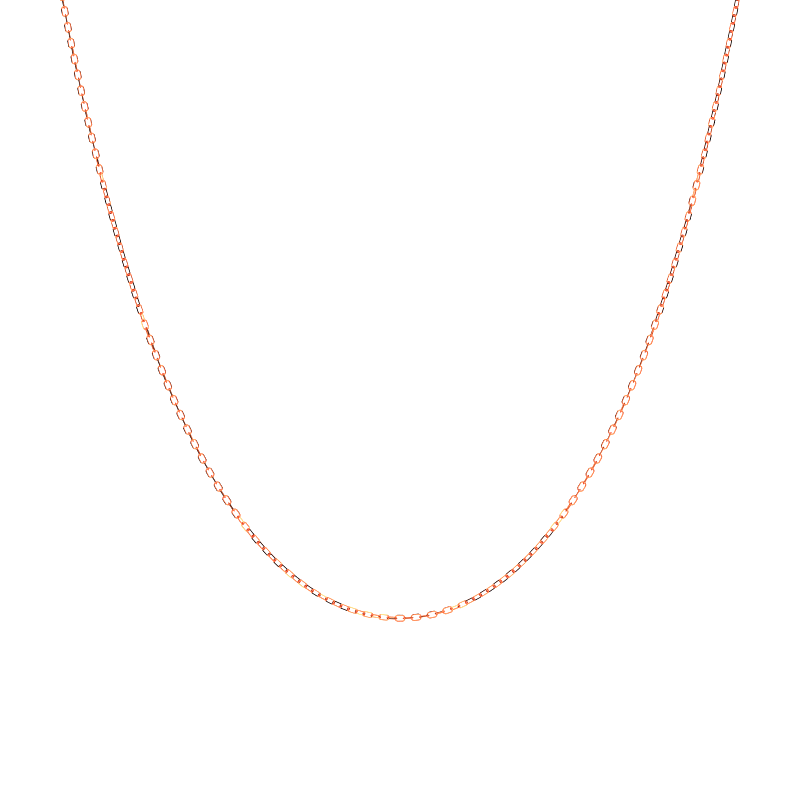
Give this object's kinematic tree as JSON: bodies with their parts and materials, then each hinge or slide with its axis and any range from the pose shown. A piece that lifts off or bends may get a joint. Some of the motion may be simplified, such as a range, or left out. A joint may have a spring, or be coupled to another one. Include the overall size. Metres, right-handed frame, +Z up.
{
  "type": "chain necklace",
  "caption": "Fine rose-gold cable chain necklace of diamond-cut oval links, with a spring-ring clasp and a catch plate, unfastened and lying flat.",
  "frame": {"origin": "middle of the underside of the whole necklace, on the surface it lies on", "axes": "+Y from the front of the necklace to its clasp, +Z up from the surface"},
  "size_m": [0.1228, 0.1694, 0.0013],
  "materials": {
    "link_gold": "polished",
    "clasp_gold": "polished",
    "bolt_gold": "polished",
    "spring_steel": "satin"
  },
  "bodies": {
    "run_left_21": {"run_left_21": "link_gold"},
    "run_left_20": {"run_left_20": "link_gold"},
    "run_left_19": {"run_left_19": "link_gold"},
    "run_left_18": {"run_left_18": "link_gold"},
    "run_left_17": {"run_left_17": "link_gold"},
    "run_left_16": {"run_left_16": "link_gold"},
    "run_left_15": {"run_left_15": "link_gold"},
    "run_left_14": {"run_left_14": "link_gold"},
    "run_left_13": {"run_left_13": "link_gold"},
    "run_left_12": {"run_left_12": "link_gold"},
    "run_left_11": {"run_left_11": "link_gold"},
    "run_left_10": {"run_left_10": "link_gold"},
    "run_left_09": {"run_left_09": "link_gold"},
    "run_left_08": {"run_left_08": "link_gold"},
    "run_left_07": {"run_left_07": "link_gold"},
    "run_left_06": {"run_left_06": "link_gold"},
    "run_left_05": {"run_left_05": "link_gold"},
    "run_left_04": {"run_left_04": "link_gold"},
    "run_left_03": {"run_left_03": "link_gold"},
    "run_left_02": {"run_left_02": "link_gold"},
    "run_left_01": {"run_left_01": "link_gold"},
    "run_front": {"run_front": "link_gold"},
    "run_right_01": {"run_right_01": "link_gold"},
    "run_right_02": {"run_right_02": "link_gold"},
    "run_right_03": {"run_right_03": "link_gold"},
    "run_right_04": {"run_right_04": "link_gold"},
    "run_right_05": {"run_right_05": "link_gold"},
    "run_right_06": {"run_right_06": "link_gold"},
    "run_right_07": {"run_right_07": "link_gold"},
    "run_right_08": {"run_right_08": "link_gold"},
    "run_right_09": {"run_right_09": "link_gold"},
    "run_right_10": {"run_right_10": "link_gold"},
    "run_right_11": {"run_right_11": "link_gold"},
    "run_right_12": {"run_right_12": "link_gold"},
    "run_right_13": {"run_right_13": "link_gold"},
    "run_right_14": {"run_right_14": "link_gold"},
    "run_right_15": {"run_right_15": "link_gold"},
    "run_right_16": {"run_right_16": "link_gold"},
    "run_right_17": {"run_right_17": "link_gold"},
    "run_right_18": {"run_right_18": "link_gold"},
    "run_right_19": {"run_right_19": "link_gold"},
    "run_right_20": {"run_right_20": "link_gold"},
    "run_right_21": {"run_right_21": "link_gold"},
    "clasp_ring_link": {"clasp_jump_ring": "clasp_gold"},
    "clasp": {"clasp_body": "clasp_gold", "clasp_end_loop": "clasp_gold", "clasp_spring": "spring_steel"},
    "bolt": {"clasp_bolt": "bolt_gold", "clasp_thumb_knob": "clasp_gold"},
    "catch_ring_link": {"catch_jump_ring": "clasp_gold"},
    "catch": {"catch_plate": "clasp_gold"}
  },
  "joints": [
    {"name": "bolt_slide", "type": "hinge", "parent": "clasp", "child": "bolt", "pos_m": [-0.00741, 0.08193, 0.00066], "axis": [0, 0, -1], "range_deg": [0, 56], "stiffness_Nm_per_rad": 0.000002, "springref_deg": -20, "deforming": ["clasp_spring"]},
    {"name": "clasp_ring_swing", "type": "hinge", "parent": "run_left_21", "child": "clasp_ring_link", "pos_m": [-0.01321, 0.08193, 0.00066], "axis": [0, 1, 0], "range_deg": [-60, 60]},
    {"name": "clasp_swing", "type": "hinge", "parent": "clasp_ring_link", "child": "clasp", "pos_m": [-0.01121, 0.08193, 0.00066], "axis": [0, 0, 1], "range_deg": [-60, 60]},
    {"name": "catch_ring_swing", "type": "hinge", "parent": "run_right_21", "child": "catch_ring_link", "pos_m": [0.01318, 0.08193, 0.00066], "axis": [0, 0, 1], "range_deg": [-60, 60]},
    {"name": "catch_plate_swing", "type": "hinge", "parent": "catch_ring_link", "child": "catch", "pos_m": [0.01122, 0.08193, 0.00066], "axis": [0, 0, 1], "range_deg": [-60, 60]},
    {"name": "bend_left_01", "type": "hinge", "parent": "run_front", "child": "run_left_01", "pos_m": [-0.00501, -0.08353, 0.00066], "axis": [-0.1807, -0.9142, 0.3629], "range_deg": [-45, 45]},
    {"name": "bend_left_02", "type": "hinge", "parent": "run_left_01", "child": "run_left_02", "pos_m": [-0.01435, -0.07988, 0.00066], "axis": [0.5081, 0.8569, 0.0874], "range_deg": [-45, 45]},
    {"name": "bend_left_03", "type": "hinge", "parent": "run_left_02", "child": "run_left_03", "pos_m": [-0.02226, -0.07367, 0.00066], "axis": [-0.6988, -0.7071, -0.1078], "range_deg": [-45, 45]},
    {"name": "bend_left_04", "type": "hinge", "parent": "run_left_03", "child": "run_left_04", "pos_m": [-0.02868, -0.06612, 0.00066], "axis": [0.7727, 0.561, -0.297], "range_deg": [-45, 45]},
    {"name": "bend_left_05", "type": "hinge", "parent": "run_left_04", "child": "run_left_05", "pos_m": [-0.03417, -0.05749, 0.00066], "axis": [-0.6193, -0.3482, 0.7037], "range_deg": [-45, 45]},
    {"name": "bend_left_06", "type": "hinge", "parent": "run_left_05", "child": "run_left_06", "pos_m": [-0.03873, -0.0485, 0.00066], "axis": [0.6303, 0.2899, 0.7202], "range_deg": [-45, 45]},
    {"name": "bend_left_07", "type": "hinge", "parent": "run_left_06", "child": "run_left_07", "pos_m": [-0.04265, -0.03922, 0.00066], "axis": [0.63, 0.2452, -0.7369], "range_deg": [-45, 45]},
    {"name": "bend_left_08", "type": "hinge", "parent": "run_left_07", "child": "run_left_08", "pos_m": [-0.04614, -0.02959, 0.00066], "axis": [-0.3877, -0.1305, -0.9125], "range_deg": [-45, 45]},
    {"name": "bend_left_09", "type": "hinge", "parent": "run_left_08", "child": "run_left_09", "pos_m": [-0.04917, -0.01998, 0.00066], "axis": [-0.6787, -0.2016, 0.7062], "range_deg": [-45, 45]},
    {"name": "bend_left_10", "type": "hinge", "parent": "run_left_09", "child": "run_left_10", "pos_m": [-0.0519, -0.01027, 0.00066], "axis": [0.6825, 0.1814, 0.708], "range_deg": [-45, 45]},
    {"name": "bend_left_11", "type": "hinge", "parent": "run_left_10", "child": "run_left_11", "pos_m": [-0.05433, -0.00066, 0.00066], "axis": [0.6736, 0.1623, -0.7211], "range_deg": [-45, 45]},
    {"name": "bend_left_12", "type": "hinge", "parent": "run_left_11", "child": "run_left_12", "pos_m": [-0.05659, 0.00917, 0.00066], "axis": [-0.681, -0.1498, -0.7168], "range_deg": [-45, 45]},
    {"name": "bend_left_13", "type": "hinge", "parent": "run_left_12", "child": "run_left_13", "pos_m": [-0.05867, 0.01903, 0.00066], "axis": [-0.675, -0.1366, 0.725], "range_deg": [-45, 45]},
    {"name": "bend_left_14", "type": "hinge", "parent": "run_left_13", "child": "run_left_14", "pos_m": [-0.0605, 0.02894, 0.00066], "axis": [0.6919, 0.0863, 0.7168], "range_deg": [-45, 45]},
    {"name": "bend_left_15", "type": "hinge", "parent": "run_left_14", "child": "run_left_15", "pos_m": [-0.06068, 0.039, 0.00066], "axis": [0.7119, -0.064, -0.6993], "range_deg": [-45, 45]},
    {"name": "bend_left_16", "type": "hinge", "parent": "run_left_15", "child": "run_left_16", "pos_m": [-0.05871, 0.04887, 0.00066], "axis": [-0.6918, 0.2166, -0.6888], "range_deg": [-45, 45]},
    {"name": "bend_left_17", "type": "hinge", "parent": "run_left_16", "child": "run_left_17", "pos_m": [-0.0547, 0.05809, 0.00066], "axis": [-0.6246, 0.3553, 0.6954], "range_deg": [-45, 45]},
    {"name": "bend_left_18", "type": "hinge", "parent": "run_left_17", "child": "run_left_18", "pos_m": [-0.04882, 0.06626, 0.00066], "axis": [0.5223, -0.4683, 0.7127], "range_deg": [-45, 45]},
    {"name": "bend_left_19", "type": "hinge", "parent": "run_left_18", "child": "run_left_19", "pos_m": [-0.04134, 0.07299, 0.00066], "axis": [0.4039, -0.5586, -0.7245], "range_deg": [-45, 45]},
    {"name": "bend_left_20", "type": "hinge", "parent": "run_left_19", "child": "run_left_20", "pos_m": [-0.03261, 0.07798, 0.00066], "axis": [-0.278, 0.6356, -0.7202], "range_deg": [-45, 45]},
    {"name": "bend_left_21", "type": "hinge", "parent": "run_left_20", "child": "run_left_21", "pos_m": [-0.02301, 0.081, 0.00066], "axis": [-0.1401, 0.6966, 0.7037], "range_deg": [-45, 45]},
    {"name": "bend_right_01", "type": "hinge", "parent": "run_front", "child": "run_right_01", "pos_m": [0.00485, -0.08356, 0.00066], "axis": [-0.1876, 0.9804, -0.0595], "range_deg": [-45, 45]},
    {"name": "bend_right_02", "type": "hinge", "parent": "run_right_01", "child": "run_right_02", "pos_m": [0.01435, -0.07988, 0.00066], "axis": [0.5089, -0.8582, 0.0674], "range_deg": [-45, 45]},
    {"name": "bend_right_03", "type": "hinge", "parent": "run_right_02", "child": "run_right_03", "pos_m": [0.02226, -0.07367, 0.00066], "axis": [-0.6988, 0.7071, -0.1078], "range_deg": [-45, 45]},
    {"name": "bend_right_04", "type": "hinge", "parent": "run_right_03", "child": "run_right_04", "pos_m": [0.02868, -0.06612, 0.00066], "axis": [0.7727, -0.561, -0.297], "range_deg": [-45, 45]},
    {"name": "bend_right_05", "type": "hinge", "parent": "run_right_04", "child": "run_right_05", "pos_m": [0.03417, -0.05749, 0.00066], "axis": [-0.6193, 0.3482, 0.7037], "range_deg": [-45, 45]},
    {"name": "bend_right_06", "type": "hinge", "parent": "run_right_05", "child": "run_right_06", "pos_m": [0.03873, -0.0485, 0.00066], "axis": [0.6303, -0.2899, 0.7202], "range_deg": [-45, 45]},
    {"name": "bend_right_07", "type": "hinge", "parent": "run_right_06", "child": "run_right_07", "pos_m": [0.04265, -0.03922, 0.00066], "axis": [0.6425, -0.2501, -0.7243], "range_deg": [-45, 45]},
    {"name": "bend_right_08", "type": "hinge", "parent": "run_right_07", "child": "run_right_08", "pos_m": [0.04603, -0.02989, 0.00066], "axis": [-0.8766, 0.2963, -0.3792], "range_deg": [-45, 45]},
    {"name": "bend_right_09", "type": "hinge", "parent": "run_right_08", "child": "run_right_09", "pos_m": [0.04908, -0.02028, 0.00066], "axis": [-0.5741, 0.1712, 0.8007], "range_deg": [-45, 45]},
    {"name": "bend_right_10", "type": "hinge", "parent": "run_right_09", "child": "run_right_10", "pos_m": [0.05186, -0.01043, 0.00066], "axis": [0.4391, -0.1169, 0.8908], "range_deg": [-45, 45]},
    {"name": "bend_right_11", "type": "hinge", "parent": "run_right_10", "child": "run_right_11", "pos_m": [0.05429, -0.00081, 0.00066], "axis": [0.4899, -0.1182, -0.8637], "range_deg": [-45, 45]},
    {"name": "bend_right_12", "type": "hinge", "parent": "run_right_11", "child": "run_right_12", "pos_m": [0.05656, 0.00901, 0.00066], "axis": [-0.7593, 0.1673, -0.6288], "range_deg": [-45, 45]},
    {"name": "bend_right_13", "type": "hinge", "parent": "run_right_12", "child": "run_right_13", "pos_m": [0.05864, 0.01887, 0.00066], "axis": [-0.6474, 0.1312, 0.7507], "range_deg": [-45, 45]},
    {"name": "bend_right_14", "type": "hinge", "parent": "run_right_13", "child": "run_right_14", "pos_m": [0.06048, 0.02878, 0.00066], "axis": [0.7526, -0.0965, 0.6514], "range_deg": [-45, 45]},
    {"name": "bend_right_15", "type": "hinge", "parent": "run_right_14", "child": "run_right_15", "pos_m": [0.06069, 0.03884, 0.00066], "axis": [0.7285, 0.063, -0.6821], "range_deg": [-45, 45]},
    {"name": "bend_right_16", "type": "hinge", "parent": "run_right_15", "child": "run_right_16", "pos_m": [0.05876, 0.04871, 0.00066], "axis": [-0.6647, -0.2056, -0.7182], "range_deg": [-45, 45]},
    {"name": "bend_right_17", "type": "hinge", "parent": "run_right_16", "child": "run_right_17", "pos_m": [0.05478, 0.05795, 0.00066], "axis": [-0.7804, -0.4404, 0.4439], "range_deg": [-45, 45]},
    {"name": "bend_right_18", "type": "hinge", "parent": "run_right_17", "child": "run_right_18", "pos_m": [0.04882, 0.06626, 0.00066], "axis": [0.5842, 0.5239, 0.6199], "range_deg": [-45, 45]},
    {"name": "bend_right_19", "type": "hinge", "parent": "run_right_18", "child": "run_right_19", "pos_m": [0.04134, 0.07299, 0.00066], "axis": [0.4039, 0.5586, -0.7245], "range_deg": [-45, 45]},
    {"name": "bend_right_20", "type": "hinge", "parent": "run_right_19", "child": "run_right_20", "pos_m": [0.03261, 0.07798, 0.00066], "axis": [-0.278, -0.6356, -0.7202], "range_deg": [-45, 45]},
    {"name": "bend_right_21", "type": "hinge", "parent": "run_right_20", "child": "run_right_21", "pos_m": [0.02301, 0.081, 0.00066], "axis": [-0.1401, -0.6966, 0.7037], "range_deg": [-45, 45]}
  ]
}
